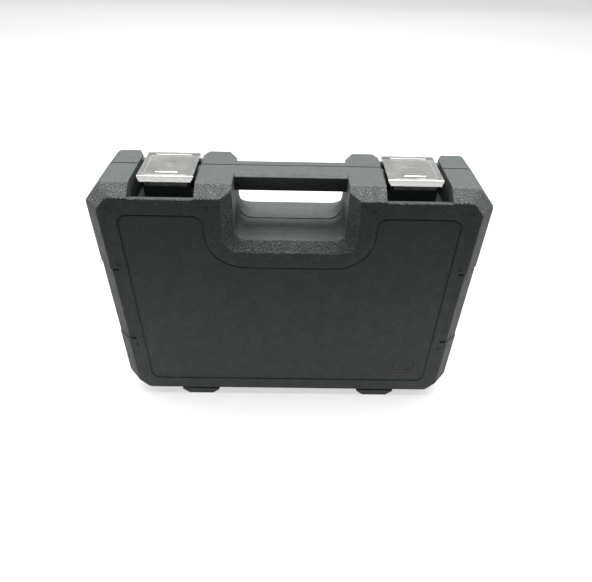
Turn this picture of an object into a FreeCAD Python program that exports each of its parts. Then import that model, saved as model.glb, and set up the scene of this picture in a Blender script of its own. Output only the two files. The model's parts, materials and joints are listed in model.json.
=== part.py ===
import FreeCAD, Part
import math
import os
from FreeCAD import Vector

# A socket wrench set in a moulded carrying case that stands upright on its feet.
# Millimetres. +Z is up, the front face looks along -Y, the origin is the middle of the footprint.
# The front shell is the base and holds the tool tray; the thin rear shell is the lid, hinged at the
# bottom. Two steel toggle latches on top pull the shells together.

# ---------------------------------------------------------------- driving dimensions
# case
case_width = 380.0
case_depth = 88.0
body_height = 268.0
foot_height = 6.5
base_depth = 53.5          # front face to the parting plane
seam_gap = 0.3
wall = 3.0
front_chamfer = 14.0       # depth of the sloped border round the front face
side_slope = 13.3          # how far that border narrows the front face on each side
top_slope = 9.2
bottom_slope = 4.0
rear_chamfer = 4.0
corner_x = 17.0            # flats across the four corners
corner_z = 19.0
front_corner_share = 0.65  # corner flats are smaller on the front face
corner_round = 7.0         # rounding of the outline's eight corners
edge_round = 2.0
seam_groove = 0.6
seam_groove_width = 1.5

# front panel and side strips
panel_depth = 0.4
panel_groove_depth = 0.8
panel_groove_width = 1.5
panel_sweep = 38.0
panel_margin = 16.5
panel_corner = 9.0
strip_rise = 83.5         # body's underside to the strip's lower end
strip_fall = 87.5         # top of the body to the strip's upper end
strip_inset = 21.5
strip_depth = 1.0
strip_groove_depth = 1.8
strip_groove_width = 2.6

# handle
hand_half_width = 53.5
hand_depth = 56.0          # top of the body to the shelf under the grip
grip_height = 21.0
grip_front = 33.0          # front face of the case to the front of the grip
grip_rear = 23.0           # rear face of the case to the rear of the grip
grip_wall = 3.0
hand_floor_fall = 2.5      # the shelf falls from its front edge to the parting plane
bay_flare = 10.5           # how much wider the hand bay is at the outer faces
front_flare_depth = 8.0
rear_flare_depth = 19.0
bay_corner_front = 10.0
bay_corner_seam = 15.0
bay_corner_rear = 21.0
grip_gusset = 8.0

# feet and hinge
foot_centre = 105.0
foot_top_width = 44.0
foot_flat_width = 26.0
foot_length = 32.0
foot_round = 1.5
hinge_height = 4.5
knuckle_radius = 3.8
knuckle_gap = 0.4
lid_knuckle_width = 16.0
hinge_pin_radius = 1.5
running_fit = 0.05

# latches
latch_centre = 115.5
bay_inner_gap = 2.75       # bay wall to the lever, towards the grip
bay_outer_gap = 5.75
latch_rear_flare = 7.0
latch_rear_flare_depth = 14.0
ledge_height = 9.2         # top of the case down to the ledge in front of the latch
ledge_fall = 3.6           # the ledge falls from its front edge to the finger pit
ledge_edge = 1.4
pit_depth = 24.5
pit_start = 10.0           # front face to the finger pit
lid_bay_depth = 15.0
lever_width = 51.5
lever_length = 56.0
lever_proud = 2.0
sheet = 1.2
bevel_length = 4.0
bevel_drop = 4.5
flange_drop = 6.0
pivot_from_rear = 18.0     # rear face of the case to the lever's pivot
pivot_drop = 7.5           # lever's top face to its pivot
link_behind = 5.0          # hook pivot behind the lever's pivot
link_above = 1.0
rivet_radius = 1.5
link_pin_radius = 1.25
hook_width = 40.0
hook_reach = 53.0
lip_below_pivot = 2.8
lip_lean = 0.9             # the lip's lower end leans back towards the catch
bead_radius = 0.9
bead_rise = 0.3
hook_clearance = 0.3
rivet_depth = 2.0

# tray
tray_face = 5.0            # height of the tray's face above the middle plane
tray_wall = 2.0
tray_gap = 0.6
tray_top_gap = 2.0
step_face = -12.0          # face of the lowered part that the half-inch sockets stand in
step_low_top = 60.0
step_medium_top = 86.7
step_medium_gap = 2.0
tray_split_inset = 3.5
pocket_floor = -30.0
pocket_clearance = 0.6
foam_thickness = 10.0

# tools
half_square = 12.7
quarter_square = 6.35
socket_wall = 2.7
half_socket_length = 40.0
half_drive_outer = 22.0
quarter_socket_length = 25.0
quarter_drive_outer = 12.0
quarter_wall = 1.9
spark_socket_length = 66.0
half_ratchet_length = 250.0
quarter_ratchet_length = 146.0
grip_ribs = 7
button_travel = 2.0
lever_swing = 40.0
journal_margin = 0.32      # ratchet journal beyond the corners of its square
t_bar_length = 220.0
t_bar_radius = 6.0
t_bar_travel = 40.0
bit_pitch = 12.0
bit_columns = 5
bit_hole_depth = 14.0
key_sizes = (2.5, 3.0, 4.0, 5.0)
key_pitch = 6.5

# heights of the tray's rows above the floor, and their ends
row_large = 36.0
row_medium = 74.0
row_ratchet = 105.0
row_t_bar = 133.0
row_extension = 157.0
row_quarter_ratchet = 184.0
row_quarter_low = 208.0
row_quarter_high = 228.0
row_medium_end = -16.0
row_end_gap = 4.4
quarter_block_near = 90.0

# ---------------------------------------------------------------- places worked out from them
front = -case_depth / 2
rear = case_depth / 2
seam = front + base_depth
base_seam = seam - seam_gap / 2
lid_seam = seam + seam_gap / 2
body_bottom = foot_height
body_top = foot_height + body_height
half_width = case_width / 2
grip_front_y = front + grip_front
grip_rear_y = rear - grip_rear
pivot_y = rear - pivot_from_rear
pivot_z = body_top + lever_proud - pivot_drop
link_y = pivot_y + link_behind
link_z = pivot_z + link_above
lip_y = link_y - hook_reach
hand_floor = body_top - hand_depth
grip_underside = body_top - grip_height
strip_low = body_bottom + strip_rise
strip_high = body_top - strip_fall
bay_inner = latch_centre - lever_width / 2 - bay_inner_gap
bay_outer = latch_centre + lever_width / 2 + bay_outer_gap
tray_top = body_top - pit_depth - wall - tray_top_gap
half_reach = half_width - wall - tray_gap - tray_wall - row_end_gap
far = 60.0                 # how far cutting blocks run past the case

parts = {}


# ---------------------------------------------------------------- small helpers
def box(x0, x1, y0, y1, z0, z1):
    return Part.makeBox(x1 - x0, y1 - y0, z1 - z0, Vector(x0, y0, z0))


def rod_x(radius, x0, x1, y, z):
    return Part.makeCylinder(radius, x1 - x0, Vector(x0, y, z), Vector(1, 0, 0))


def rod_y(radius, y0, y1, x, z):
    return Part.makeCylinder(radius, y1 - y0, Vector(x, y0, z), Vector(0, 1, 0))


def rod_z(radius, z0, z1, x, y):
    return Part.makeCylinder(radius, z1 - z0, Vector(x, y, z0), Vector(0, 0, 1))


def wire_at(points, y):
    corners = [Vector(x, y, z) for x, z in points]
    return Part.makePolygon(corners + corners[:1])


def round_wire_at(points, y, radius):
    """Closed outline at depth y with every corner rounded."""
    corners = [Vector(x, y, z) for x, z in points]
    arcs = []
    for i, corner in enumerate(corners):
        before = (corners[i - 1] - corner).normalize()
        after = (corners[(i + 1) % len(corners)] - corner).normalize()
        half_angle = before.getAngle(after) / 2
        reach = radius / math.tan(half_angle)
        middle = (before + after).normalize() * (radius / math.sin(half_angle) - radius)
        arcs.append((corner + before * reach, corner + middle, corner + after * reach))
    edges = []
    for i, (start, middle, end) in enumerate(arcs):
        edges.append(Part.Arc(start, middle, end).toShape())
        edges.append(Part.makeLine(end, arcs[(i + 1) % len(arcs)][0]))
    return Part.Wire(edges)


def prism_y(points, y0, y1):
    """Polygon of (x, z) points, extruded from y0 to y1."""
    return Part.Face(wire_at(points, y0)).extrude(Vector(0, y1 - y0, 0))


def prism_x(points, x0, x1):
    """Polygon of (y, z) points, extruded from x0 to x1."""
    corners = [Vector(x0, y, z) for y, z in points]
    face = Part.Face(Part.makePolygon(corners + corners[:1]))
    return face.extrude(Vector(x1 - x0, 0, 0))


def ring_points(count, radius, x, z, turn=0.0):
    return [(x + radius * math.cos(math.radians(turn + 360.0 * i / count)),
             z + radius * math.sin(math.radians(turn + 360.0 * i / count))) for i in range(count)]


def hex_y(across_flats, y0, y1, x, z):
    return prism_y(ring_points(6, across_flats / math.sqrt(3), x, z), y0, y1)


def square_y(side, y0, y1, x, z):
    half = side / 2
    return box(x - half, x + half, y0, y1, z - half, z + half)


def fuse(shapes):
    joined = shapes[0]
    if len(shapes) > 1:
        joined = joined.multiFuse(shapes[1:])
    return joined.removeSplitter()


def cut(shape, tools):
    return shape.cut(tools).removeSplitter()


def mirror_x(shape):
    return shape.mirror(Vector(0, 0, 0), Vector(1, 0, 0))


def chamfered_rod_y(radius, y0, y1, x, z, chamfer):
    """Round bar along Y with both ends chamfered."""
    profile = [Vector(x, y0, z), Vector(x + radius - chamfer, y0, z), Vector(x + radius, y0 + chamfer, z),
               Vector(x + radius, y1 - chamfer, z), Vector(x + radius - chamfer, y1, z), Vector(x, y1, z)]
    face = Part.Face(Part.makePolygon(profile + profile[:1]))
    return face.revolve(Vector(x, y0, z), Vector(0, 1, 0), 360)


def turned_x(profile, y, z):
    """Solid of revolution about a line along X; profile is (x, radius) points."""
    first = profile[0][0]
    last = profile[-1][0]
    points = [Vector(first, y, z)] + [Vector(x, y, z + r) for x, r in profile] + [Vector(last, y, z)]
    face = Part.Face(Part.makePolygon(points + points[:1]))
    return face.revolve(Vector(first, y, z), Vector(1, 0, 0), 360)


# ---------------------------------------------------------------- case body
def outline(side, low, high, share):
    """Eight-sided outline of the case, (x, z) points."""
    cx = corner_x * share
    cz = corner_z * share
    right = [(side - cx, low), (side, low + cz), (side, high - cz), (side - cx, high)]
    return right + [(-x, z) for x, z in reversed(right)]


def case_block(inset, front_y=None, rear_y=None):
    """The case's outer form, shrunk all round by inset."""
    face_front = front + inset if front_y is None else front_y
    face_rear = rear - inset if rear_y is None else rear_y
    side = half_width - inset
    low = body_bottom + inset
    high = body_top - inset
    small = outline(side - side_slope, low + bottom_slope, high - top_slope, front_corner_share)
    full = outline(side, low, high, 1.0)
    back = outline(side - rear_chamfer, low + rear_chamfer, high - rear_chamfer, 1.0)
    stations = [round_wire_at(small, face_front, corner_round), round_wire_at(full, front + front_chamfer, corner_round),
                round_wire_at(full, rear - rear_chamfer, corner_round), round_wire_at(back, face_rear, corner_round)]
    return Part.makeLoft(stations, True, True)


def bay_outline(side, floor, corner, y):
    """U-shaped outline with round lower corners, open towards the top of the case."""
    top = body_top + far
    k = corner * (1 - math.sqrt(0.5))
    p = [Vector(-side, y, top), Vector(-side, y, floor + corner), Vector(-side + k, y, floor + k),
         Vector(-side + corner, y, floor), Vector(side - corner, y, floor),
         Vector(side - k, y, floor + k), Vector(side, y, floor + corner), Vector(side, y, top)]
    edges = [Part.makeLine(p[0], p[1]), Part.Arc(p[1], p[2], p[3]).toShape(), Part.makeLine(p[3], p[4]),
             Part.Arc(p[4], p[5], p[6]).toShape(), Part.makeLine(p[6], p[7]), Part.makeLine(p[7], p[0])]
    return Part.Wire(edges)


def hand_bay(grow):
    """Space for the hand through both shells, flared at the outer faces; the grip is still in it."""
    side = hand_half_width + grow
    shelf = hand_floor - grow
    low = shelf - hand_floor_fall
    flared = shelf - bay_flare
    wide = side + bay_flare
    stations = [(front - far, wide, flared, bay_corner_seam + grow), (front, wide, flared, bay_corner_seam + grow),
                (front + front_flare_depth, side, shelf, bay_corner_front + grow),
                (seam, side, low, bay_corner_seam + grow),
                (rear - rear_flare_depth, side, low, bay_corner_rear + grow),
                (rear, wide, low, bay_corner_rear + grow), (rear + far, wide, low, bay_corner_rear + grow)]
    wires = [bay_outline(half, floor, corner, y) for y, half, floor, corner in stations]
    return Part.makeLoft(wires, True, True)


def latch_bay(grow):
    """Channel across the top for one latch (right side), with the finger pit in front of the catch."""
    ledge = body_top - ledge_height - grow
    pit_floor = body_top - pit_depth - grow
    lid_floor = body_top - lid_bay_depth - grow
    step = front + pit_start - grow
    top = body_top + far
    profile = [(front - far, ledge - ledge_edge), (front, ledge - ledge_edge), (front + ledge_edge, ledge),
               (step, ledge - ledge_fall), (step, pit_floor),
               (seam, pit_floor), (seam, lid_floor), (rear + far, lid_floor), (rear + far, top),
               (front - far, top)]
    channel = prism_x(profile, bay_inner - grow, bay_outer + grow)
    start = rear - latch_rear_flare_depth
    inner = bay_inner - grow
    outer = bay_outer + grow
    plan = [(inner, start), (inner - latch_rear_flare, rear), (inner - latch_rear_flare, rear + far),
            (outer + latch_rear_flare, rear + far), (outer + latch_rear_flare, rear), (outer, start)]
    corners = [Vector(x, y, lid_floor) for x, y in plan]
    face = Part.Face(Part.makePolygon(corners + corners[:1]))
    return channel.fuse(face.extrude(Vector(0, 0, top - lid_floor)))


def spaces(grow):
    """Every hollow that the case walls go round."""
    right = latch_bay(grow)
    return [hand_bay(grow), right, mirror_x(right)]


def hollow(inset, y0, y1):
    """Inside of the case between two depths, kept inset away from the outer form and the hollows."""
    inner = case_block(inset, front + wall, rear - wall)
    inner = inner.common(box(-half_width, half_width, y0, y1, -far, body_top + far))
    return inner.cut(spaces(inset))


def half_case(y0, y1):
    block = case_block(0.0)
    block = block.makeFillet(edge_round, block.Edges)
    return block.common(box(-half_width - far, half_width + far, y0, y1, -far, body_top + far))


def grip_bar(y0, y1, outer_y, slope_drop, slope_length, undercut):
    """Grip between the shoulders: outer top edge sloped, outer face drawn in towards the underside."""
    inward = 1 if outer_y < seam else -1
    profile = [(outer_y, body_top - slope_drop), (outer_y + inward * slope_length, body_top),
               (seam, body_top), (seam, grip_underside), (outer_y + inward * undercut, grip_underside)]
    end = hand_half_width + wall / 2
    bar = prism_x(profile, -end, end)
    return bar.common(box(-far * 2, far * 2, y0, y1, 0, body_top + far))


def grip_gussets(y0, y1):
    """Rounded upper corners of the opening under the grip."""
    side = hand_half_width
    block = box(side - grip_gusset, side + wall / 2, y0, y1, grip_underside - grip_gusset, grip_underside + 0.5)
    right = block.cut(rod_y(grip_gusset, y0, y1, side - grip_gusset, grip_underside - grip_gusset))
    return [right, mirror_x(right)]


def grip_hollow(y0, y1):
    return box(-hand_half_width + grip_wall, hand_half_width - grip_wall, y0, y1,
               grip_underside + grip_wall, body_top - grip_wall)


def parting_groove():
    """Shallow groove round the parting line, outside and in the hand bay."""
    half = seam_groove_width / 2
    slab = box(-far * 4, far * 4, seam - half, seam + half, -far, body_top + far)
    skin = case_block(-1.0).cut([case_block(seam_groove)] + [latch_bay(0.0), mirror_x(latch_bay(0.0))])
    bay = hand_bay(seam_groove).cut(box(-hand_half_width - 1, hand_half_width + 1, -far, far,
                                        grip_underside, body_top + far))
    return [skin.common(slab), bay.common(slab)]


def side_strips():
    """Shallow recesses in both flanks with a deeper groove at each end."""
    zone = box(half_width - strip_inset, half_width + far, -far, far, strip_low, strip_high)
    skin = case_block(-1.0).cut(case_block(strip_depth))
    deep = case_block(-1.0).cut(case_block(strip_groove_depth))
    shapes = [skin.common(zone)]
    for z in (strip_low, strip_high - strip_groove_width):
        shapes.append(deep.common(box(half_width - strip_inset, half_width + far, -far, far,
                                      z, z + strip_groove_width)))
    right = fuse(shapes)
    return [right, mirror_x(right)]


def panel_area(shrink, depth):
    """Block over the front panel, which steps round the hand bay in a wide curve."""
    side = half_width - side_slope - panel_margin - shrink
    low = body_bottom + bottom_slope + panel_margin + shrink
    high = body_top - top_slope - panel_margin - shrink
    c = panel_corner
    k = c * (1 - math.sqrt(0.5))
    notch_x = hand_half_width + bay_flare + panel_margin + shrink
    notch_z = hand_floor - bay_flare - panel_margin - shrink
    sweep = panel_sweep
    j = sweep * (1 - math.sqrt(0.5))
    y = front - 1.0
    right = [Vector(0, y, low), Vector(side - c, y, low), Vector(side - k, y, low + k), Vector(side, y, low + c),
             Vector(side, y, high - c), Vector(side - k, y, high - k), Vector(side - c, y, high),
             Vector(notch_x + c, y, high), Vector(notch_x + k, y, high - k), Vector(notch_x, y, high - c),
             Vector(notch_x, y, notch_z + sweep), Vector(notch_x - j, y, notch_z + j),
             Vector(notch_x - sweep, y, notch_z), Vector(0, y, notch_z)]
    edges = [Part.makeLine(right[i], right[i + 1]) for i in (0, 3, 6, 9, 12)]
    edges += [Part.Arc(right[i], right[i + 1], right[i + 2]).toShape() for i in (1, 4, 7, 10)]
    edges.append(Part.makeLine(right[13], right[0]))
    half = Part.Face(Part.Wire(Part.__sortEdges__(edges)))
    solid = half.extrude(Vector(0, 1.0 + depth, 0))
    return fuse([solid, mirror_x(solid)])


def panel_recess():
    """The front panel: a groove round it and a surface a little behind its border."""
    groove = panel_area(0.0, panel_groove_depth).cut(panel_area(panel_groove_width, panel_groove_depth + 1))
    return [groove, panel_area(panel_groove_width / 2, panel_depth)]


def feet(y0, y1):
    """Moulded feet under one shell, wide at the body and narrow where they stand."""
    top = body_bottom + wall - 0.2
    half_top = foot_top_width / 2
    half_flat = foot_flat_width / 2
    profile = [(-half_top, top), (-half_top, body_bottom + 1.0), (-half_flat, 0.0), (half_flat, 0.0),
               (half_top, body_bottom + 1.0), (half_top, top)]
    foot = prism_y(profile, y0, y1)
    foot = foot.makeFillet(foot_round, [edge for edge in foot.Edges if edge.BoundBox.ZMax < foot_round])
    right = foot.translated(Vector(foot_centre, 0, 0))
    return [right, mirror_x(right)]


def knuckle(x0, x1, side_sign):
    """One hinge knuckle with its web to the shell on the given side of the seam."""
    barrel = rod_x(knuckle_radius, x0, x1, seam, hinge_height)
    reach = seam + side_sign * 2.2 * knuckle_radius
    web = box(x0, x1, min(seam, reach), max(seam, reach), hinge_height, body_bottom + wall / 2)
    return fuse([barrel, web])


def hinge_spans():
    """X ranges of the outer (base) and middle (lid) knuckles of the right-hand hinge."""
    left = foot_centre - foot_top_width / 2
    right = foot_centre + foot_top_width / 2
    mid_left = foot_centre - lid_knuckle_width / 2
    mid_right = foot_centre + lid_knuckle_width / 2
    outer = [(left, mid_left - knuckle_gap), (mid_right + knuckle_gap, right)]
    return outer, [(mid_left, mid_right)]


def hinge_clearance(spans):
    """Cylinders that free the other shell's knuckles."""
    shapes = []
    for x0, x1 in spans:
        tool = rod_x(knuckle_radius + knuckle_gap, x0 - knuckle_gap, x1 + knuckle_gap, seam, hinge_height)
        shapes += [tool, mirror_x(tool)]
    return shapes


def hinge_bores(radius):
    tool = rod_x(radius, foot_centre - foot_top_width, foot_centre + foot_top_width, seam, hinge_height)
    return [tool, mirror_x(tool)]


def corner_marks():
    """Round ejector marks on the front border."""
    side = half_width - side_slope
    places = [(side - 10.5, body_top - 19.0), (76.0, body_top - 18.5), (side - 8.0, strip_high + 5.5),
              (side - 8.0, strip_low - 7.5)]
    marks = []
    for x, z in places:
        ring = rod_y(2.4, front - 1, front + 0.35, x, z).cut(rod_y(1.5, front - 1, front + 1, x, z))
        marks += [ring, mirror_x(ring)]
    return marks


def badge():
    """Blank raised badge on the front panel: a frame with a plain bar under it."""
    x1 = half_width - side_slope - panel_margin - 14.7
    x0 = x1 - 24.0
    z0 = body_bottom + bottom_slope + panel_margin + 12.5
    z1 = z0 + 21.0
    y0 = front + panel_depth - 0.1
    y1 = front + 0.3
    frame = box(x0, x1, y1, y0 + 0.4, z0, z1).cut(box(x0 + 1.2, x1 - 1.2, y1 - 1, y0 + 1, z0 + 1.2, z1 - 1.2))
    bar = box(x0 + 3, x1 - 3, y1, y0 + 0.4, z0 + 3.5, z0 + 6.5)
    diamond = prism_y(ring_points(4, 5.0, (x0 + x1) / 2, z0 + 13.2), y1, y0 + 0.4)
    return [frame, bar, diamond]


def catch_block():
    """Ridge in the base that the hook's lip drops in front of (right side)."""
    catch_top = pivot_z - lip_below_pivot - hook_clearance
    catch_front = lip_y + lip_lean + sheet + hook_clearance
    half = hook_width / 2 + 2.0
    return box(latch_centre - half, latch_centre + half, catch_front, catch_front + 4.0,
               body_top - pit_depth - wall / 2, catch_top)


def base_shell():
    body = half_case(front - far, base_seam)
    outer, middle = hinge_spans()
    body = body.cut([hollow(wall, front, seam + 1)] + spaces(0.0))
    bar = grip_bar(front, base_seam, grip_front_y, 3.0, 4.5, 9.0)
    bar = bar.cut(grip_hollow(grip_front_y + 11.0, base_seam + 1))
    adds = [bar, catch_block(), mirror_x(catch_block())] + feet(front, front + foot_length)
    for x0, x1 in outer:
        lobe = knuckle(x0, x1, -1)
        adds += [lobe, mirror_x(lobe)]
    body = cut(body, side_strips() + parting_groove() + panel_recess() + corner_marks() + hinge_clearance(middle))
    body = fuse([body] + adds + badge())
    return cut(body, hinge_bores(hinge_pin_radius))


def pivot_bosses():
    """Bosses on the lid's bay walls that hold the lever's rivets (right-hand latch)."""
    inner = latch_centre - lever_width / 2 - hook_clearance
    outer = latch_centre + lever_width / 2 + hook_clearance
    shapes = [rod_x(3.6, bay_inner - 1.0, inner, pivot_y, pivot_z),
              rod_x(3.6, outer, bay_outer + 1.0, pivot_y, pivot_z)]
    bore = rod_x(rivet_radius, inner - rivet_depth, outer + rivet_depth, pivot_y, pivot_z)
    return [shape.cut(bore) for shape in shapes]


def lid_shell():
    body = half_case(lid_seam, rear + far)
    outer, middle = hinge_spans()
    body = body.cut([hollow(wall, seam - 1, rear)] + spaces(0.0))
    bar = grip_bar(lid_seam, rear, grip_rear_y, 3.0, 3.0, 2.0)
    bar = bar.cut(grip_hollow(lid_seam - 1, grip_rear_y - 5.0))
    adds = [bar] + grip_gussets(lid_seam, grip_rear_y - 2.0) + feet(rear - foot_length * 0.7, rear - rear_chamfer)
    for x0, x1 in middle:
        lobe = knuckle(x0, x1, 1)
        adds += [lobe, mirror_x(lobe)]
    for boss in pivot_bosses():
        adds += [boss, mirror_x(boss)]
    body = cut(body, side_strips() + parting_groove() + hinge_clearance(outer))
    body = fuse([body] + adds)
    return cut(body, hinge_bores(hinge_pin_radius + running_fit))


def hinge_pins():
    half = foot_top_width / 2
    pin = rod_x(hinge_pin_radius, foot_centre - half, foot_centre + half, seam, hinge_height)
    return Part.makeCompound([pin, mirror_x(pin)])


# ---------------------------------------------------------------- latches
def latch_lever():
    """Pressed steel lever plate (right side): flat top, sloped front, two flanges with pivot eyes."""
    x0 = latch_centre - lever_width / 2
    x1 = latch_centre + lever_width / 2
    top = body_top + lever_proud
    back = pivot_y + link_behind
    nose = back - lever_length
    skin = [(back, top), (nose + bevel_length, top), (nose, top - bevel_drop),
            (nose + sheet * 0.75, top - bevel_drop - sheet * 0.66),
            (nose + bevel_length + sheet * 0.4, top - sheet), (back, top - sheet)]
    plate = prism_x(skin, x0, x1)
    corner = 3.0
    for x, sign in ((x0, 1), (x1, -1)):
        nick = [Vector(x, nose - 1, 0), Vector(x + sign * corner, nose - 1, 0), Vector(x, nose + corner, 0)]
        wedge = Part.Face(Part.makePolygon(nick + nick[:1])).extrude(Vector(0, 0, body_top + far))
        plate = plate.cut(wedge)
    side = [(back, top - 0.1), (nose + bevel_length + 1.0, top - 0.1), (nose + bevel_length + 3.0, top - flange_drop),
            (pivot_y - 6.0, top - flange_drop), (pivot_y - 3.0, pivot_z - 3.0), (pivot_y + 3.0, pivot_z - 3.0),
            (link_y + 2.4, link_z - 2.0), (link_y + 2.4, link_z + 1.5), (back, top - 3.0)]
    flange = prism_x(side, x0, x0 + sheet)
    adds = [flange, flange.translated(Vector(lever_width - sheet, 0, 0))]
    bead = rod_x(bead_radius, x0 + 8.0, x1 - 8.0, back - 5.0, top + bead_rise - bead_radius)
    mark = prism_x([(nose + 12, top - 0.1), (nose + 12, top + 0.3), (nose + 13, top + 0.3),
                    (nose + 13, top - 0.1)], latch_centre - 10, latch_centre + 10)
    body = fuse([plate, bead, mark] + adds)
    bores = [rod_x(rivet_radius + running_fit, x0 - 1, x1 + 1, pivot_y, pivot_z),
             rod_x(link_pin_radius, x0 - 1, x1 + 1, link_y, link_z)]
    return cut(body, bores)


def latch_hook():
    """Flat hook: an eye on the link pin, a long plate and a lip bent down at the front."""
    x0 = latch_centre - hook_width / 2
    x1 = latch_centre + hook_width / 2
    eye = link_pin_radius + sheet
    top = link_z + eye + 0.6
    lip_bottom = pivot_z - lip_below_pivot
    profile = [(link_y + 0.5, top), (lip_y, top), (lip_y + lip_lean, lip_bottom),
               (lip_y + lip_lean + sheet, lip_bottom),
               (lip_y + sheet, top - sheet), (link_y + 0.5, top - sheet)]
    plate = prism_x(profile, x0, x1)
    tube = rod_x(eye, x0, x1, link_y, link_z)
    neck = box(x0, x1, link_y - eye, link_y + 0.5, link_z, top)
    body = fuse([plate, tube, neck])
    bore = rod_x(link_pin_radius + running_fit, x0 - 1, x1 + 1, link_y, link_z)
    return cut(body, [bore])


def latch_link_pin():
    x0 = latch_centre - lever_width / 2
    return rod_x(link_pin_radius, x0, x0 + lever_width, link_y, link_z)


def latch_rivets():
    inner = latch_centre - lever_width / 2
    outer = latch_centre + lever_width / 2
    left = rod_x(rivet_radius, inner - hook_clearance - rivet_depth, inner + sheet, pivot_y, pivot_z)
    right = rod_x(rivet_radius, outer - sheet, outer + hook_clearance + rivet_depth, pivot_y, pivot_z)
    return Part.makeCompound([left, right, mirror_x(left), mirror_x(right)])


def case_parts():
    parts["base_shell"] = base_shell()
    parts["lid_shell"] = lid_shell()
    parts["hinge_pins"] = hinge_pins()
    parts["latch_rivets"] = latch_rivets()
    for name, maker in (("latch_lever", latch_lever), ("latch_hook", latch_hook),
                        ("latch_link_pin", latch_link_pin)):
        right = maker()
        parts[name + "_right"] = right
        parts[name + "_left"] = mirror_x(right)


# ---------------------------------------------------------------- tray and its pockets
pockets = []


def lay_pocket(radius, x0, x1, z, y):
    """Pocket for a round tool that lies along X with its axis at height y."""
    pockets.append(("lay", radius, x0, x1, z, y))


def stand_pocket(radius, x, z, floor):
    """Round pocket for a tool that stands on the tray's floor."""
    pockets.append(("stand", radius, x, z, floor))


def slot_pocket(x0, x1, z0, z1, floor):
    """Rectangular pocket; its sides already include the clearance."""
    pockets.append(("slot", x0, x1, z0, z1, floor))


def pocket_solid(entry, grow, top):
    kind = entry[0]
    if kind == "lay":
        radius, x0, x1, z, y = entry[1:]
        r = radius + pocket_clearance + grow
        end = pocket_clearance + grow
        trough = rod_x(r, x0 - end, x1 + end, y, z)
        return trough.fuse(box(x0 - end, x1 + end, y, top, z - r, z + r))
    if kind == "stand":
        radius, x, z, floor = entry[1:]
        return rod_y(radius + pocket_clearance + grow, floor - grow, top, x, z)
    x0, x1, z0, z1, floor = entry[1:]
    return box(x0 - grow, x1 + grow, floor - grow, top, z0 - grow, z1 + grow)


def step_region(grow, y):
    """Lowered part of the tray, from depth y up."""
    low = box(-half_width, half_width, y, far, 0, step_low_top + grow)
    medium = box(-half_width, row_medium_end + step_medium_gap + grow, y, far, 0, step_medium_top + grow)
    return low.fuse(medium)


def tray_pieces(tray):
    """The tray in simple pieces: the socket steps, the long tools' part and the two upper corners."""
    across = row_medium_end + step_medium_gap
    bay_x = hand_half_width - tray_split_inset
    split_z = hand_floor - bay_flare - wall - tray_gap - 1.0
    zones = [box(-half_width, half_width, -far, far, 0, step_low_top),
             box(-half_width, across, -far, far, step_low_top, step_medium_top),
             box(across, half_width, -far, far, step_low_top, step_medium_top),
             box(-half_width, -bay_x, -far, far, split_z, body_top),
             box(bay_x, half_width, -far, far, split_z, body_top)]
    rest = tray.cut(zones)
    return Part.makeCompound([tray.common(zone) for zone in zones] + [rest])


def tool_tray():
    """Thin stepped tray: a face plate with a skirt that stands on the base, and one cup per pocket."""
    below = box(-half_width, half_width, -far, far, 0, tray_top)
    inside = box(-half_width, half_width, -far, far, 0, tray_top - tray_wall)
    outer = hollow(wall + tray_gap, front + wall, tray_face).common(below).cut(step_region(0.0, step_face))
    inner = hollow(wall + tray_gap + tray_wall, front + wall, tray_face - tray_wall).common(inside)
    inner = inner.cut(step_region(tray_wall, step_face - tray_wall))
    cups = fuse([pocket_solid(entry, tray_wall, tray_face) for entry in pockets])
    cups = cups.common(outer)
    shell = fuse([outer.cut(inner), cups])
    return tray_pieces(cut(shell, [pocket_solid(entry, 0.0, tray_face + far) for entry in pockets]))


def lid_foam():
    return hollow(wall + tray_gap, rear - wall - foam_thickness, rear - wall)


# ---------------------------------------------------------------- sockets
def socket(size, square, thin_wall, drive_outer, length, x, z, floor):
    """Six-point socket standing on its drive end, open end towards the lid."""
    hex_radius = size / math.sqrt(3) + thin_wall
    drive_radius = max(drive_outer / 2, hex_radius - 0.4)
    split = floor + length * 0.45
    body = fuse([chamfered_rod_y(drive_radius, floor, split, x, z, 0.8),
                 chamfered_rod_y(hex_radius, split - 1.6, floor + length, x, z, 0.8)])
    groove = rod_y(drive_radius + 1, floor + length * 0.2, floor + length * 0.2 + 1.6, x, z)
    groove = groove.cut(rod_y(drive_radius - 0.5, floor, floor + length, x, z))
    mouth = hex_y(size, floor + length * 0.55, floor + length + 1, x, z)
    drive = square_y(square + 0.2, floor - 1, floor + length * 0.38, x, z)
    through = rod_y(square * 0.42, floor, floor + length, x, z)
    return cut(body, [mouth, drive, through, groove])


def socket_radius(size, thin_wall, drive_outer):
    return max(size / math.sqrt(3) + thin_wall, drive_outer / 2)


def socket_row(sizes, thin_wall, drive_outer, x_start, x_end):
    """Middle of each socket in a row whose gaps are all equal."""
    radii = [socket_radius(size, thin_wall, drive_outer) for size in sizes]
    gap = (x_end - x_start - 2 * sum(radii)) / (len(sizes) + 1)
    places = []
    x = x_start + gap
    for radius in radii:
        places.append(x + radius)
        x += 2 * radius + gap
    return places


def half_inch_sockets():
    inside = half_width - wall - tray_gap - tray_wall
    rows = [((32, 27, 24, 22, 21, 19, 18, 17, 16), row_large, -inside + 1, inside - 1),
            ((15, 14, 13, 12, 11, 10), row_medium, -inside + 1, row_medium_end)]
    for sizes, z, x_start, x_end in rows:
        for size, x in zip(sizes, socket_row(sizes, socket_wall, half_drive_outer, x_start, x_end)):
            name = "half_inch_socket_%02dmm" % size
            parts[name] = socket(size, half_square, socket_wall, half_drive_outer, half_socket_length,
                                 x, z, pocket_floor)
            stand_pocket(socket_radius(size, socket_wall, half_drive_outer), x, z, pocket_floor)


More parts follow.
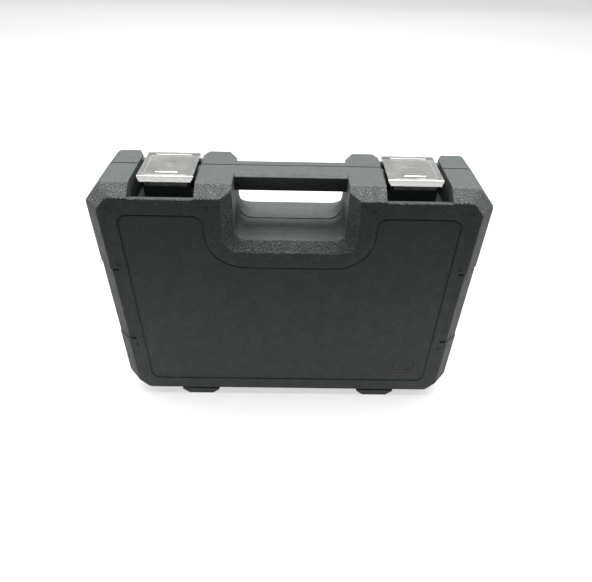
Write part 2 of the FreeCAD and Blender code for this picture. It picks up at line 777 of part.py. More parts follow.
def quarter_inch_sockets():
    floor = tray_face - quarter_socket_length * 0.75
    rows = [((14, 13, 12, 11, 10), row_quarter_low), ((9, 8, 7, 6, 5.5, 5), row_quarter_high)]
    solids = []
    for sizes, z in rows:
        places = socket_row(sizes, quarter_wall, quarter_drive_outer, -half_reach, -quarter_block_near)
        for size, x in zip(sizes, places):
            solids.append(socket(size, quarter_square, quarter_wall, quarter_drive_outer,
                                 quarter_socket_length, x, z, floor))
            stand_pocket(socket_radius(size, quarter_wall, quarter_drive_outer), x, z, floor)
    parts["quarter_inch_sockets"] = Part.makeCompound(solids)


def spark_plug_socket(name, size, x0, z, y):
    """Long socket lying along X, hexagon end towards +X."""
    length = spark_socket_length
    radius = size / math.sqrt(3) + socket_wall - 0.6
    body = turned_x([(x0, radius - 0.8), (x0 + 0.8, radius), (x0 + length * 0.28, radius),
                     (x0 + length * 0.3, radius - 0.8), (x0 + length * 0.72, radius - 0.8),
                     (x0 + length * 0.74, radius), (x0 + length - 0.8, radius), (x0 + length, radius - 0.8)],
                    y, z)
    mouth = hex_y(size, 0, length * 0.7, 0, 0)
    mouth.rotate(Vector(0, 0, 0), Vector(0, 0, 1), -90)
    mouth.translate(Vector(x0 + length * 0.35, y, z))
    half = half_square / 2 + 0.1
    drive = box(x0 - 1, x0 + 16, y - half, y + half, z - half, z + half)
    parts[name] = cut(body, [mouth, drive])
    lay_pocket(radius, x0, x0 + length, z, y)


# ---------------------------------------------------------------- ratchets
def gear_y(teeth, root, tip, y0, y1, x, z):
    points = []
    step = 360.0 / teeth
    for i in range(teeth):
        for turn, radius in ((0.0, root), (0.35, tip), (0.65, tip)):
            angle = math.radians(step * (i + turn))
            points.append((x + radius * math.cos(angle), z + radius * math.sin(angle)))
    return prism_y(points, y0, y1)


def ratchet(name, x, z, base_y, k, square, length):
    """Reversible ratchet: head at x, handle towards +X, square pointing down into the tray.

    k scales the head; the lever and the release button are on the side that faces the lid."""
    head = 17.0 * k
    thick = 15.0 * k
    top = base_y + thick
    cover_top = top + 2.0 * k
    chamber = 12.0 * k
    floor = base_y + 3.0 * k
    stem = 6.0 * k
    journal = square / math.sqrt(2) + journal_margin
    bore = 3.2 * k
    neck_end = x + length * 0.52
    lever_x = x + 17.0 * k
    shaft = 2.6 * k
    axis_y = base_y + thick / 2

    neck = prism_y([(x, z - 11 * k), (x + 30 * k, z - 7 * k), (neck_end, z - 6 * k), (neck_end, z + 6 * k),
                    (x + 30 * k, z + 7 * k), (x, z + 11 * k)], axis_y - 5.5 * k, axis_y + 5.5 * k)
    shoulder = prism_y([(x, z - 14 * k), (x + 25 * k, z - 9 * k), (x + 25 * k, z + 9 * k), (x, z + 14 * k)],
                       base_y, top)
    tang = rod_x(5.0 * k, neck_end - 2, x + length - head - 8 * k, axis_y, z)
    body = fuse([chamfered_rod_y(head, base_y, top, x, z, 1.0 * k), shoulder, neck, tang])
    room = fuse([rod_y(chamber, floor, top + 1, x, z),
                 box(x, x + 22 * k, floor, top + 1, z - 6.5 * k, z + 6.5 * k)])
    screw_places = [(x - 10.2 * k, z - 10.2 * k), (x - 10.2 * k, z + 10.2 * k)]
    screw_holes = [rod_y(1.2 * k, top - 6 * k, cover_top + 1, sx, sz) for sx, sz in screw_places]
    sockets = [rod_y(2.2 * k, cover_top - 0.9 * k, cover_top + 1, sx, sz) for sx, sz in screw_places]
    journal_hole = rod_y(journal + running_fit, base_y - 1, floor + 1, x, z)
    parts[name + "_body"] = cut(body, [room, journal_hole] + screw_holes)

    plate = fuse([rod_y(head - 1.0 * k, top, cover_top, x, z),
                  prism_y([(x, z - 12 * k), (x + 24 * k, z - 8 * k), (x + 24 * k, z + 8 * k),
                           (x, z + 12 * k)], top, cover_top)])
    openings = [rod_y(stem + running_fit, top - 1, cover_top + 1, x, z),
                rod_y(shaft + running_fit, top - 1, cover_top + 1, lever_x, z)]
    parts[name + "_cover"] = cut(plate, openings + screw_holes + sockets)
    screws = []
    for sx, sz in screw_places:
        screw = fuse([rod_y(1.2 * k, top - 5.5 * k, cover_top - 0.9 * k, sx, sz),
                      rod_y(2.2 * k, cover_top - 0.9 * k, cover_top, sx, sz)])
        screws.append(cut(screw, [hex_y(2.0 * k, cover_top - 0.7 * k, cover_top + 1, sx, sz)]))
    parts[name + "_screws"] = Part.makeCompound(screws)

    drive = fuse([gear_y(28, 10.2 * k, 11.3 * k, floor + 0.1, top - 0.1, x, z),
                  rod_y(journal, base_y, floor + 0.2, x, z),
                  square_y(square, base_y - square * 1.05, base_y + 0.1, x, z),
                  rod_y(stem, top - 0.2, cover_top + 0.4 * k, x, z)])
    parts[name + "_drive"] = cut(drive, [rod_y(bore, base_y + 1.0 * k, cover_top + 2, x, z)])
    parts[name + "_release_button"] = chamfered_rod_y(bore - running_fit, base_y + 1.0 * k + button_travel + 0.3,
                                                      cover_top + 0.4 * k + button_travel, x, z, 0.4 * k)

    # the lever's rest position is one end of its swing
    paddle = fuse([rod_y(4.6 * k, cover_top + 0.3, cover_top + 3.0 * k, lever_x, z),
                   prism_y([(lever_x, z - 4.0 * k), (lever_x + 15 * k, z - 2.4 * k),
                            (lever_x + 15 * k, z + 2.4 * k), (lever_x, z + 4.0 * k)],
                           cover_top + 0.3, cover_top + 2.4 * k),
                   rod_y(shaft, floor + 5.0 * k, cover_top + 0.5, lever_x, z)])
    paddle.rotate(Vector(lever_x, 0, z), Vector(0, 1, 0), lever_swing / 2)
    parts[name + "_direction_lever"] = paddle
    parts[name + "_pawl"] = prism_y([(x + 12.2 * k, z - 5.0 * k), (x + 20.0 * k, z - 3.0 * k),
                                     (x + 20.0 * k, z + 3.0 * k), (x + 12.2 * k, z + 5.0 * k),
                                     (x + 13.2 * k, z)], floor, floor + 4.5 * k)

    grip_start = neck_end
    grip_end = x + length - head
    r = 12.0 * k
    profile = [(grip_start, r * 0.62), (grip_start + 4 * k, r * 0.8)]
    rib = (grip_end - grip_start - 16 * k) / grip_ribs
    for i in range(grip_ribs):
        start = grip_start + 8 * k + i * rib
        profile += [(start, r), (start + rib * 0.72, r), (start + rib * 0.8, r - 0.9 * k),
                    (start + rib * 0.95, r - 0.9 * k)]
    profile += [(grip_end - 4 * k, r), (grip_end, r * 0.75)]
    grip = turned_x(profile, axis_y, z)
    parts[name + "_grip"] = cut(grip, [rod_x(5.0 * k, neck_end - 5, x + length - head - 8 * k, axis_y, z),
                                       box(neck_end - 1, neck_end, axis_y - 20, axis_y + 20, z - 20, z + 20)])

    stand_pocket(head, x, z, base_y)
    stand_pocket(square * 0.75, x, z, base_y - square * 1.05 - 1.0)
    slot_pocket(x, neck_end, z - 14 * k - pocket_clearance, z + 14 * k + pocket_clearance,
                base_y - pocket_clearance)
    lay_pocket(r, grip_start, grip_end, z, axis_y)


# ---------------------------------------------------------------- bars and joints
def extension(name, x0, z, y, square, length):
    """Extension bar lying along X: drive end with a square socket, plain bar, male square with a ball."""
    r = square * 0.86
    bar_radius = square * 0.5
    end = x0 + length
    profile = [(x0, r - 0.8), (x0 + 0.8, r), (x0 + square * 1.6, r), (x0 + square * 1.9, bar_radius),
               (end - square * 2.2, bar_radius), (end - square * 2.0, square * 0.68),
               (end - square * 1.1, square * 0.68), (end - square * 1.05, square * 0.5)]
    body = turned_x(profile, y, z)
    half = square / 2
    tip = box(end - square * 1.2, end, y - half, y + half, z - half, z + half)
    tip = tip.makeChamfer(square * 0.07, [edge for edge in tip.Edges if edge.BoundBox.XMin > end - 0.01])
    ball = Part.makeSphere(square * 0.14, Vector(end - square * 0.5, y + half - square * 0.04, z))
    female = box(x0 - 1, x0 + square * 1.2, y - half - 0.1, y + half + 0.1, z - half - 0.1, z + half + 0.1)
    parts[name] = cut(fuse([body, tip, ball]), [female])
    lay_pocket(r, x0, end, z, y)


def universal_joint(x, z, y):
    """Half-inch universal joint lying along X; x is the middle of its cross."""
    r = 11.0
    ear = 4.0
    gap = 7.0
    half = half_square / 2
    yoke = turned_x([(x - 34, r - 0.8), (x - 33.2, r), (x - 9, r), (x + 7, r)], y, z)
    yoke = yoke.cut([box(x - 9, x + 20, y - r, y + r, z - gap, z + gap),
                     box(x - 35, x - 18, y - half - 0.1, y + half + 0.1, z - half - 0.1, z + half + 0.1),
                     rod_z(2.5, z - 20, z + 20, x, y)])
    parts["universal_joint_socket_yoke"] = yoke
    block = box(x - 4.6, x + 4.6, y - 4.6, y + 4.6, z - gap + 0.3, z + gap - 0.3)
    cross = fuse([block, rod_z(2.45, z - r + 1, z + r - 1, x, y), rod_y(2.45, y - r + 1, y + r - 1, x, z)])
    parts["universal_joint_cross"] = cross
    fork = box(x - 5.5, x + 9, y - r + 0.6, y + r - 0.6, z - ear, z + ear)
    fork = fork.cut([box(x - 20, x + 9, y - 5.2, y + 5.2, z - r, z + r), rod_y(2.5, y - 20, y + 20, x, z)])
    shank = fuse([box(x + 8.9, x + 12, y - r + 0.6, y + r - 0.6, z - ear, z + ear),
                  rod_x(8.6, x + 11, x + 18, y, z), box(x + 17, x + 32, y - half, y + half, z - half, z + half)])
    parts["universal_joint_drive_yoke"] = fuse([fork, shank])
    lay_pocket(r, x - 34, x + 6, z, y)
    slot_pocket(x - 7, x + 38, z - 16, z + 16, y - r - 2 * pocket_clearance)


def sliding_t_bar(x0, z, y):
    """Sliding bar with its square-drive head, which has room to slide in the tray."""
    r = t_bar_radius
    middle = x0 + t_bar_length / 2
    body = turned_x([(x0, r - 1), (x0 + 1, r), (x0 + t_bar_length - 1, r), (x0 + t_bar_length, r - 1)], y, z)
    knobs = [Part.makeSphere(1.0, Vector(x, y + r - 0.4, z)) for x in (x0 + 6, x0 + t_bar_length - 6)]
    parts["t_bar_rod"] = fuse([body] + knobs)
    head = fuse([rod_x(10.5, middle - 11, middle + 11, y, z),
                 rod_y(9.5, y - 14, y, middle, z),
                 square_y(half_square, y - 28, y - 13, middle, z)])
    parts["t_bar_head"] = cut(head, [rod_x(r + running_fit, middle - 20, middle + 20, y, z)])
    lay_pocket(r, x0, x0 + t_bar_length, z, y)
    reach = t_bar_travel + 11 + pocket_clearance
    slot_pocket(middle - reach, middle + reach, z - 11.5, z + 11.5, y - 29)


# ---------------------------------------------------------------- bits, handle and keys
def driver_handle(x0, z, y):
    """Screwdriver handle for the quarter-inch drive, blade end towards +X."""
    end = x0 + 74.0
    profile = [(x0, 8.0), (x0 + 3, 12.0), (x0 + 22, 13.0), (x0 + 48, 12.2), (x0 + 60, 9.0), (x0 + 66, 9.5),
               (x0 + 72, 11.0), (end, 9.0)]
    grip = turned_x(profile, y, z)
    flutes = [rod_x(3.4, x0 + 8, x0 + 56, y + 15.2 * math.cos(math.radians(60 * i + 30)),
                    z + 15.2 * math.sin(math.radians(60 * i + 30))) for i in range(6)]
    half = quarter_square / 2
    shank = fuse([rod_x(4.2, end, end + 22, y, z), box(end + 21, end + 30, y - half, y + half, z - half, z + half)])
    parts["driver_handle_grip"] = cut(grip, flutes + [rod_x(4.2, end - 20, end + 1, y, z)])
    parts["driver_handle_shank"] = fuse([shank, rod_x(4.2, end - 20, end + 1, y, z)])
    lay_pocket(13.0, x0, end, z, y)
    lay_pocket(4.2, end, end + 30, z, y)


def bit(x, z, y0, kind):
    """Quarter-inch hexagon bit standing on its shank."""
    shank = hex_y(6.35, y0, y0 + 13, x, z)
    neck = rod_y(2.3, y0 + 12.9, y0 + 19, x, z)
    if kind == "cross":
        tip = fuse([box(x - 2.2, x + 2.2, y0 + 18.9, y0 + 25, z - 0.5, z + 0.5),
                    box(x - 0.5, x + 0.5, y0 + 18.9, y0 + 25, z - 2.2, z + 2.2)])
    elif kind == "flat":
        tip = box(x - 2.6, x + 2.6, y0 + 18.9, y0 + 25, z - 0.6, z + 0.6)
    elif kind == "hexagon":
        tip = hex_y(4.0, y0 + 18.9, y0 + 25, x, z)
    else:
        tip = gear_y(6, 1.5, 2.3, y0 + 18.9, y0 + 25, x, z)
    return fuse([shank, neck, tip])


def bit_set(x0, z0, floor):
    """Block with a grid of bits; each row across has bits of one kind."""
    kinds = ("cross", "flat", "hexagon", "star")
    block = box(x0, x0 + bit_columns * bit_pitch, floor, tray_face + 2, z0, z0 + len(kinds) * bit_pitch)
    holes = []
    bits = []
    hole_floor = tray_face + 2 - bit_hole_depth
    for row, kind in enumerate(kinds):
        for column in range(bit_columns):
            x = x0 + (column + 0.5) * bit_pitch
            z = z0 + (row + 0.5) * bit_pitch
            holes.append(hex_y(6.55, hole_floor, tray_face + 3, x, z))
            bits.append(bit(x, z, hole_floor, kind))
    parts["bit_block"] = cut(block, holes)
    parts["screwdriver_bits"] = Part.makeCompound(bits)
    c = pocket_clearance
    slot_pocket(x0 - c, x0 + bit_columns * bit_pitch + c, z0 - c, z0 + len(kinds) * bit_pitch + c, floor)


def hex_keys(x1, z0, y):
    """L-shaped keys side by side, short arms pointing down into the tray at their +X ends."""
    keys = []
    z = z0
    for size in key_sizes:
        arm = 45.0 + 10.0 * size
        short = 10.0 + 2.0 * size
        x_long = x1 - arm
        long_arm = hex_y(size, 0, arm, 0, 0)
        long_arm.rotate(Vector(0, 0, 0), Vector(0, 0, 1), -90)
        long_arm.translate(Vector(x_long, y, z))
        down = hex_y(size, y - short, y + size / 2, x1 - size / math.sqrt(3), z)
        keys.append(fuse([long_arm, down]))
        z += key_pitch
    parts["hex_keys"] = Part.makeCompound(keys)
    widest = max(key_sizes)
    low = z0 - key_pitch / 2
    high = z0 + (len(key_sizes) - 0.5) * key_pitch
    slot_pocket(x1 - 45 - 10 * widest - 1, x1 + 1, low, high, y - widest / math.sqrt(3) - 0.4)
    slot_pocket(x1 - widest * 1.4, x1 + 1, low, high, y - 10 - 2 * widest - 1)


def tools():
    half_inch_sockets()
    spark_plug_socket("spark_plug_socket_21mm", 21, row_medium_end + 6, row_medium, 1.0)
    spark_plug_socket("spark_plug_socket_16mm", 16, row_medium_end + 6 + spark_socket_length + 9,
                      row_medium, 1.0)
    ratchet("half_ratchet", -half_reach + 17, row_ratchet, -6.0, 1.0, half_square, half_ratchet_length)
    sliding_t_bar(-half_reach, row_t_bar, 1.0)
    hex_keys(half_reach, row_t_bar - 1.5 * key_pitch - 0.7, 3.0)
    extension("half_extension_long", -half_reach, row_extension, 1.0, half_square, 125.0)
    extension("half_extension_short", -half_reach + 134, row_extension, 1.0, half_square, 75.0)
    universal_joint(76.0, row_extension, 1.0)
    extension("quarter_extension", half_reach - 55, row_extension, 2.0, quarter_square, 50.0)
    ratchet("quarter_ratchet", -half_reach + 12, row_quarter_ratchet, -2.0, 0.62, quarter_square,
            quarter_ratchet_length)
    driver_handle(-22.0, row_quarter_ratchet, 1.0)
    quarter_inch_sockets()
    bit_set(quarter_block_near + 12, row_quarter_ratchet - 10, tray_face - bit_hole_depth)


case_parts()
tools()
parts["tool_tray"] = tool_tray()
parts["lid_foam"] = lid_foam()

# ---------------------------------------------------------------- write every piece
os.makedirs("parts", exist_ok=True)
for name, shape in parts.items():
    shape.exportStep("parts/" + name + ".step")
    print(name, len(shape.Solids), round(shape.Volume, 1), shape.isValid())
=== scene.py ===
import json
import math

import bpy
from mathutils import Matrix, Vector

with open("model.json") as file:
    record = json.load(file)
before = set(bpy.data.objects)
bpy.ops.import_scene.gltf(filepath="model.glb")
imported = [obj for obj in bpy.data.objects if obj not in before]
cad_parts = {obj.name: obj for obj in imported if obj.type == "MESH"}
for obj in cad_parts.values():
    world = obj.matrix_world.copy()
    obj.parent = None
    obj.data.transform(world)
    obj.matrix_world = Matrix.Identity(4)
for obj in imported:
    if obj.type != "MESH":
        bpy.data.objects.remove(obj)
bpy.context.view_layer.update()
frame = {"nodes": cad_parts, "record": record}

NODES = frame["nodes"]
MM = 0.001

# Camera: where it stood in front of the case, in millimetres from the case's own origin
CAMERA_PLACE = Vector((0.3, -445.0, 485.3)) * MM
CAMERA_YAW = math.radians(0.94)
CAMERA_PITCH = math.radians(38.86)
CAMERA_ROLL = math.radians(1.44)
CAMERA_LENS = 30.6
SENSOR_WIDTH = 36.0

# Stage, in metres like everything below: the floor starts a little in front of the case
TABLE_EDGE = -0.32
FLOOR_REACH = 6.0
LIGHT_TARGET = (0.0, 0.0, 0.15)
LIGHTS = (  # name, place, width, height, watts
    ("top_softbox", (0.0, 0.3, 1.6), 2.4, 1.2, 124.0),
    ("rear_card", (0.0, 2.2, 2.0), 3.6, 1.5, 5.0),
    ("front_strip", (0.0, -1.1, 1.75), 1.8, 0.16, 3.0),
    ("low_rear_card", (0.0, 2.4, 0.75), 4.0, 0.8, 16.0),
    ("left_softbox", (-1.5, 0.4, 0.8), 1.0, 1.0, 14.0),
    ("right_softbox", (1.5, 0.4, 0.8), 1.0, 1.0, 14.0),
)

# Case: the zone of the front panel, the parting plane, and where the coarse grain of the border fades out
FRONT_ZONE = -0.0425
SEAM = 0.0095
SEAM_HALF_WIDTH = 0.0006
BORDER_FADE_FRONT = -0.0315
BORDER_FADE_REAR = -0.0285
BAY_REACH = 0.068

# Blank badge near the front's lower right corner
BADGE_LEFT = 0.1215
BADGE_RIGHT = 0.1455
BADGE_LOW = 0.0395
BADGE_HIGH = 0.0605
BADGE_LINE = 0.0012
BADGE_BAR_INSET = 0.003
BADGE_BAR_LOW = 0.0035
BADGE_BAR_HIGH = 0.0065
BADGE_DIAMOND_HEIGHT = 0.0132
BADGE_DIAMOND_INNER = 0.0032
BADGE_DIAMOND_OUTER = 0.005
BADGE_SOFT = 0.0002

# Latch levers: middle, pressed marks and the rolled rear bead, which is painted in shade
LATCH_CENTRE = 0.1155
DASH_START = 0.0205
DASH_PITCH = 0.0022
DASH_ROW_HALF = 0.0090
DASH_ROW_FRONT = -0.0095
DASH_ROW_REAR = -0.0070
RING_CENTRE = 0.0010
RING_INNER = 0.0036
RING_OUTER = 0.0048
FRAME_HALF_WIDTH = 0.0205
FRAME_FRONT = -0.0185
FRAME_REAR = 0.0215
BEAD_FRONT = 0.0248
BEAD_REAR = 0.0272


# ------------------------------------------------------------------ camera, floor and light
def make_camera():
    forward = Vector((math.sin(CAMERA_YAW) * math.cos(CAMERA_PITCH),
                      math.cos(CAMERA_YAW) * math.cos(CAMERA_PITCH), -math.sin(CAMERA_PITCH)))
    level_right = Vector((math.cos(CAMERA_YAW), -math.sin(CAMERA_YAW), 0.0))
    level_up = level_right.cross(forward)
    right = level_right * math.cos(CAMERA_ROLL) + level_up * math.sin(CAMERA_ROLL)
    up = level_up * math.cos(CAMERA_ROLL) - level_right * math.sin(CAMERA_ROLL)
    data = bpy.data.cameras.new("camera")
    data.sensor_fit = "HORIZONTAL"
    data.sensor_width = SENSOR_WIDTH
    data.lens = CAMERA_LENS
    camera = bpy.data.objects.new("camera", data)
    turn = Matrix((right, up, -forward)).transposed().to_4x4()
    camera.matrix_world = Matrix.Translation(CAMERA_PLACE) @ turn
    bpy.context.scene.collection.objects.link(camera)
    bpy.context.scene.camera = camera


def make_floor():
    mesh = bpy.data.meshes.new("floor")
    corners = [(-FLOOR_REACH, TABLE_EDGE, 0), (FLOOR_REACH, TABLE_EDGE, 0),
               (FLOOR_REACH, FLOOR_REACH, 0), (-FLOOR_REACH, FLOOR_REACH, 0)]
    mesh.from_pydata(corners, [], [(0, 1, 2, 3)])
    floor = bpy.data.objects.new("floor", mesh)
    bpy.context.scene.collection.objects.link(floor)
    paint = Surface("floor_paper")
    paint.shader.inputs["Base Color"].default_value = (0.24, 0.24, 0.24, 1.0)
    paint.shader.inputs["Emission Color"].default_value = (1.0, 1.0, 1.0, 1.0)
    paint.shader.inputs["Emission Strength"].default_value = 0.62
    paint.shader.inputs["Roughness"].default_value = 0.9
    paint.shader.inputs["Specular IOR Level"].default_value = 0.2
    mesh.materials.append(paint.material)


def area_light(name, place, width, height, power):
    data = bpy.data.lights.new(name, "AREA")
    data.shape = "RECTANGLE"
    data.size = width
    data.size_y = height
    data.energy = power
    light = bpy.data.objects.new(name, data)
    direction = Vector(LIGHT_TARGET) - Vector(place)
    turn = direction.to_track_quat("-Z", "Y").to_matrix().to_4x4()
    light.matrix_world = Matrix.Translation(place) @ turn
    bpy.context.scene.collection.objects.link(light)


def make_light():
    world = bpy.data.worlds.new("studio")
    world.use_nodes = True
    background = world.node_tree.nodes["Background"]
    background.inputs["Color"].default_value = (0.97, 0.985, 1.0, 1.0)
    background.inputs["Strength"].default_value = 0.1
    bpy.context.scene.world = world
    for settings in LIGHTS:
        area_light(*settings)
    bpy.context.scene.view_settings.view_transform = "Standard"


# ------------------------------------------------------------------ material building blocks
class Surface:
    """A principled material and short calls for the nodes that drive it."""

    def __init__(self, name):
        self.material = bpy.data.materials.new(name)
        self.material.use_nodes = True
        self.tree = self.material.node_tree
        self.shader = self.tree.nodes["Principled BSDF"]
        self.place = None

    def node(self, kind, **settings):
        made = self.tree.nodes.new(kind)
        for key, value in settings.items():
            setattr(made, key, value)
        return made

    def link(self, source, target):
        self.tree.links.new(source, target)

    def position(self):
        if self.place is None:
            self.place = self.node("ShaderNodeTexCoord")
        return self.place.outputs["Object"]

    def normal(self):
        self.position()
        return self.place.outputs["Normal"]

    def noise(self, size, detail=3.0, roughness=0.5, source=None):
        """Noise whose features are about size metres across; returns its 0..1 value."""
        made = self.node("ShaderNodeTexNoise")
        made.inputs["Scale"].default_value = 1.0 / size
        made.inputs["Detail"].default_value = detail
        made.inputs["Roughness"].default_value = roughness
        self.link(source or self.position(), made.inputs["Vector"])
        return made.outputs["Fac"]

    def cells(self, size, source=None):
        made = self.node("ShaderNodeTexVoronoi", feature="F1")
        made.inputs["Scale"].default_value = 1.0 / size
        self.link(source or self.position(), made.inputs["Vector"])
        return made.outputs["Distance"]

    def math(self, operation, first, second=None, clamp=False):
        made = self.node("ShaderNodeMath", operation=operation, use_clamp=clamp)
        for socket, value in zip(made.inputs, (first, second)):
            if value is None:
                continue
            if isinstance(value, (int, float)):
                socket.default_value = value
            else:
                self.link(value, socket)
        return made.outputs["Value"]

    def ramp(self, value, low, high, out_low=0.0, out_high=1.0):
        made = self.node("ShaderNodeMapRange", interpolation_type="SMOOTHSTEP")
        self.link(value, made.inputs["Value"])
        made.inputs["From Min"].default_value = low
        made.inputs["From Max"].default_value = high
        made.inputs["To Min"].default_value = out_low
        made.inputs["To Max"].default_value = out_high
        return made.outputs["Result"]

    def mix(self, factor, first, second):
        made = self.node("ShaderNodeMix", data_type="RGBA")
        self.link(factor, made.inputs["Factor"])
        for socket, value in ((made.inputs["A"], first), (made.inputs["B"], second)):
            if isinstance(value, tuple):
                socket.default_value = value + (1.0,)
            else:
                self.link(value, socket)
        return made.outputs["Result"]

    def axis(self, vector, letter):
        made = self.node("ShaderNodeSeparateXYZ")
        self.link(vector, made.inputs["Vector"])
        return made.outputs[letter]

    def bump(self, height, distance, strength=1.0, previous=None):
        made = self.node("ShaderNodeBump")
        made.inputs["Distance"].default_value = distance
        made.inputs["Strength"].default_value = strength
        self.link(height, made.inputs["Height"])
        if previous is not None:
            self.link(previous, made.inputs["Normal"])
        return made.outputs["Normal"]

    def rounded(self, radius):
        """Normal with every sharp edge shaded as if rounded to the radius."""
        made = self.node("ShaderNodeBevel", samples=6)
        made.inputs["Radius"].default_value = radius
        return made.outputs["Normal"]

    def inside(self, value, low, high, soft=0.0004):
        """1 where the value lies between two limits, with soft ends."""
        return self.math("MULTIPLY", self.ramp(value, low - soft, low + soft),
                         self.ramp(value, high - soft, high + soft, 1.0, 0.0))

    def finish(self, color=None, roughness=None, normal=None, **constants):
        for socket, value in (("Base Color", color), ("Roughness", roughness), ("Normal", normal)):
            if value is not None:
                self.link(value, self.shader.inputs[socket])
        for key, value in constants.items():
            self.shader.inputs[key.replace("_", " ")].default_value = value
        return self.material


def badge_mask(s, depth):
    """1 on the lines of the blank badge: a frame open at the top, a bar and a diamond."""
    across = s.axis(s.position(), "X")
    height = s.axis(s.position(), "Z")

    def panel(x_low, x_high, z_low, z_high):
        return s.math("MULTIPLY", s.inside(across, x_low, x_high, BADGE_SOFT),
                      s.inside(height, z_low, z_high, BADGE_SOFT))

    outer = panel(BADGE_LEFT, BADGE_RIGHT, BADGE_LOW, BADGE_HIGH)
    inner = panel(BADGE_LEFT + BADGE_LINE, BADGE_RIGHT - BADGE_LINE, BADGE_LOW + BADGE_LINE, BADGE_HIGH)
    bar = panel(BADGE_LEFT + BADGE_BAR_INSET, BADGE_RIGHT - BADGE_BAR_INSET,
                BADGE_LOW + BADGE_BAR_LOW, BADGE_LOW + BADGE_BAR_HIGH)
    sideways = s.math("ABSOLUTE", s.math("SUBTRACT", across, (BADGE_LEFT + BADGE_RIGHT) / 2))
    upward = s.math("ABSOLUTE", s.math("SUBTRACT", height, BADGE_LOW + BADGE_DIAMOND_HEIGHT))
    diamond = s.inside(s.math("ADD", sideways, upward), BADGE_DIAMOND_INNER, BADGE_DIAMOND_OUTER)
    lines = s.math("MAXIMUM", s.math("SUBTRACT", outer, inner, True), s.math("MAXIMUM", bar, diamond))
    return s.math("MULTIPLY", lines, s.ramp(depth, FRONT_ZONE, FRONT_ZONE + 0.0005, 1.0, 0.0))


def case_plastic():
    """Moulded polypropylene: leather-like grain all over, coarse on the sloped borders at the front; painted
    highlight flecks on the coarse grain, painted shade in the seam and along the badge lines.
    """
    s = Surface("case_plastic")
    across = s.math("ABSOLUTE", s.axis(s.position(), "X"))
    depth = s.axis(s.position(), "Y")
    toward_front = s.math("MULTIPLY", s.axis(s.normal(), "Y"), -1.0)
    upward = s.axis(s.normal(), "Z")
    border = s.ramp(depth, BORDER_FADE_FRONT, BORDER_FADE_REAR, 1.0, 0.0)
    sloped = s.math("MULTIPLY", s.ramp(toward_front, 0.22, 0.4), s.ramp(upward, 0.2, 0.36))
    leaning = s.math("MULTIPLY", s.ramp(toward_front, 0.2, 0.4), s.ramp(toward_front, 0.9, 0.97, 1.0, 0.0))
    bay_side = s.math("MULTIPLY", s.ramp(across, BAY_REACH, BAY_REACH + 0.004, 1.0, 0.0), leaning)
    mask = s.math("MULTIPLY", border, s.math("MAXIMUM", sloped, bay_side))
    leather = s.noise(0.0014, 4.0, 0.65)
    first = s.bump(leather, 0.0006, 1.0, s.rounded(0.0016))
    coarse = s.noise(0.0015, 2.5, 0.6)
    grains = s.ramp(coarse, 0.44, 0.62)
    badge = badge_mask(s, depth)
    normal = s.bump(s.math("MULTIPLY", grains, mask), 0.0006, 1.0, first)
    normal = s.bump(badge, 0.0005, 1.0, normal)
    drift = s.noise(0.05, 4.0)
    tone = s.mix(drift, (0.0075, 0.0115, 0.0107), (0.0115, 0.0160, 0.0150))
    tone = s.mix(s.ramp(leather, 0.42, 0.64, 0.0, 0.65), tone, (0.034, 0.041, 0.040))
    # painted highlight: light grey flecks on the tips of the coarse grain on the sloped borders
    grain_highlight = s.math("MULTIPLY", s.ramp(s.noise(0.0009, 2.0, 0.5), 0.5, 0.72), grains)
    color = s.mix(s.math("MULTIPLY", s.math("MULTIPLY", grain_highlight, mask), 0.7), tone, (0.22, 0.22, 0.22))
    wear = s.noise(0.012, 5.0, 0.65)
    roughness = s.ramp(wear, 0.3, 0.7, 0.56, 0.66)
    # painted shade: the seam groove between the shells is darkened almost to black and loses its specular
    seam_shade = s.inside(depth, SEAM - SEAM_HALF_WIDTH, SEAM + SEAM_HALF_WIDTH, 0.0002)
    # painted shade along the badge lines, 85 percent of the way to black, together with the seam
    shade = s.math("MAXIMUM", seam_shade, s.math("MULTIPLY", badge, 0.85))
    color = s.mix(shade, color, (0.002, 0.002, 0.002))
    s.link(s.ramp(seam_shade, 0.0, 1.0, 0.5, 0.03), s.shader.inputs["Specular IOR Level"])
    return s.finish(color, roughness, normal)


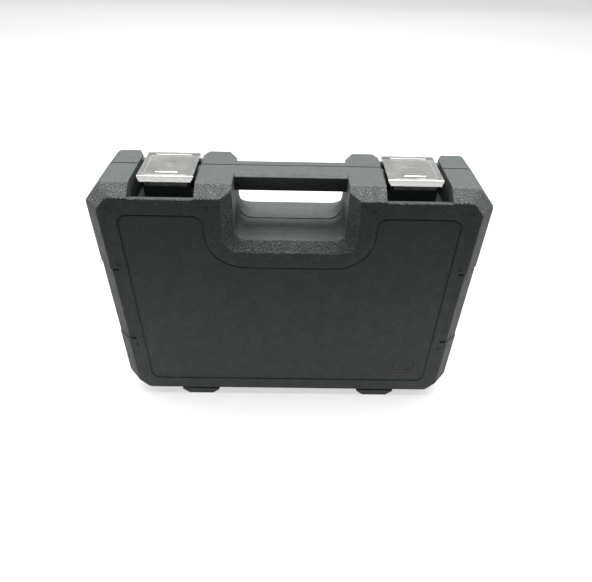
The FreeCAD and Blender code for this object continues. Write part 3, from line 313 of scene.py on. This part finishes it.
def latch_steel():
    """Bright pressed steel sheet: satin top, polished bends, a row of dashes and a ring pressed in, and
    painted shade on the rolled rear bead.
    """
    s = Surface("latch_steel")
    across = s.math("ABSOLUTE", s.axis(s.position(), "X"))
    side = s.math("SUBTRACT", across, LATCH_CENTRE)
    depth = s.axis(s.position(), "Y")
    upward = s.axis(s.normal(), "Z")
    stretch = s.node("ShaderNodeMapping")
    stretch.inputs["Scale"].default_value = (0.03, 1.0, 1.0)
    s.link(s.position(), stretch.inputs["Vector"])
    brushed = s.noise(0.0004, 3.0, 0.6, stretch.outputs["Vector"])
    smudge = s.noise(0.018, 4.0, 0.6)
    along_row = s.math("PINGPONG", s.math("ADD", side, DASH_START), DASH_PITCH)
    dashes = s.inside(along_row, 0.0005, 0.0017, 0.00025)
    dashes = s.math("MULTIPLY", dashes, s.inside(side, -DASH_ROW_HALF, DASH_ROW_HALF))
    row = s.math("MULTIPLY", dashes, s.inside(depth, DASH_ROW_FRONT, DASH_ROW_REAR))
    past_centre = s.math("SUBTRACT", depth, RING_CENTRE)
    ring = s.math("SQRT", s.math("ADD", s.math("POWER", side, 2.0), s.math("POWER", past_centre, 2.0)))
    marks = s.math("MAXIMUM", row, s.inside(ring, RING_INNER, RING_OUTER))
    frame_line = s.math("MULTIPLY", s.inside(side, -FRAME_HALF_WIDTH, FRAME_HALF_WIDTH),
                        s.inside(depth, FRAME_FRONT, FRAME_REAR))
    flat = s.ramp(upward, 0.9, 0.97)
    first = s.bump(brushed, 0.00002, 0.2, s.rounded(0.0007))
    second = s.bump(s.math("MULTIPLY", frame_line, flat), 0.00025, 0.5, first)
    normal = s.bump(s.math("MULTIPLY", marks, flat), 0.00012, 0.35, second)
    color = s.mix(smudge, (0.44, 0.44, 0.42), (0.51, 0.51, 0.49))
    # painted shade: the rolled rear bead is darkened to a dim steel
    bead_shade = s.inside(depth, BEAD_FRONT, BEAD_REAR)
    color = s.mix(bead_shade, color, (0.16, 0.16, 0.155))
    satin = s.math("ADD", s.ramp(smudge, 0.3, 0.7, 0.2, 0.25), s.math("MULTIPLY", brushed, 0.05))
    roughness = s.math("SUBTRACT", satin, s.math("MULTIPLY", s.ramp(upward, 0.5, 0.9, 1.0, 0.0), 0.1))
    return s.finish(color, roughness, normal, Metallic=1.0)


def plain_metal(name, dark, light, rough_low, rough_high, grain=0.0015):
    """Metal with a slight change of tone and polish over its surface."""
    s = Surface(name)
    patch = s.noise(0.014, 4.0, 0.6)
    fine = s.noise(grain, 3.0, 0.6)
    color = s.mix(patch, dark, light)
    roughness = s.math("ADD", s.ramp(patch, 0.3, 0.7, rough_low, rough_high), s.math("MULTIPLY", fine, 0.05))
    return s.finish(color, roughness, s.bump(fine, 0.00003, 0.5), Metallic=1.0)


def plain_plastic(name, dark, light, rough_low, rough_high, grain, depth):
    """Matt plastic or rubber with a fine moulded grain."""
    s = Surface(name)
    patch = s.noise(0.03, 4.0, 0.6)
    fine = s.noise(grain, 2.0, 0.5)
    return s.finish(s.mix(patch, dark, light), s.ramp(patch, 0.3, 0.7, rough_low, rough_high),
                    s.bump(fine, depth, 0.6))


def foam():
    """Open-cell foam sheet."""
    s = Surface("foam")
    pores = s.cells(0.0016)
    tone = s.mix(s.ramp(pores, 0.1, 0.6), (0.012, 0.012, 0.013), (0.05, 0.05, 0.053))
    return s.finish(tone, None, s.bump(pores, 0.0006, 0.8), Roughness=0.95)


def make_materials():
    return {
        "case_plastic": case_plastic(),
        "tray_plastic": plain_plastic("tray_plastic", (0.02, 0.02, 0.022), (0.03, 0.03, 0.032),
                                      0.5, 0.62, 0.0009, 0.0002),
        "foam": foam(),
        "latch_steel": latch_steel(),
        "pin_steel": plain_metal("pin_steel", (0.42, 0.42, 0.42), (0.6, 0.6, 0.6), 0.2, 0.34),
        "grip_rubber": plain_plastic("grip_rubber", (0.016, 0.016, 0.018), (0.028, 0.028, 0.03),
                                     0.55, 0.7, 0.0007, 0.0002),
        "dark_steel": plain_metal("dark_steel", (0.05, 0.05, 0.055), (0.1, 0.1, 0.105), 0.3, 0.45),
        "bit_steel": plain_metal("bit_steel", (0.3, 0.3, 0.31), (0.42, 0.42, 0.43), 0.35, 0.5),
        "chrome": plain_metal("chrome", (0.6, 0.61, 0.63), (0.72, 0.72, 0.74), 0.12, 0.24),
    }


def dress_nodes(materials):
    """Every CAD node gets the finished material of its slot."""
    for part in frame["record"]["subparts"]:
        mesh = NODES[part["node"]].data
        mesh.materials.clear()
        mesh.materials.append(materials[part["material_slot"]])


make_camera()
make_floor()
make_light()
dress_nodes(make_materials())
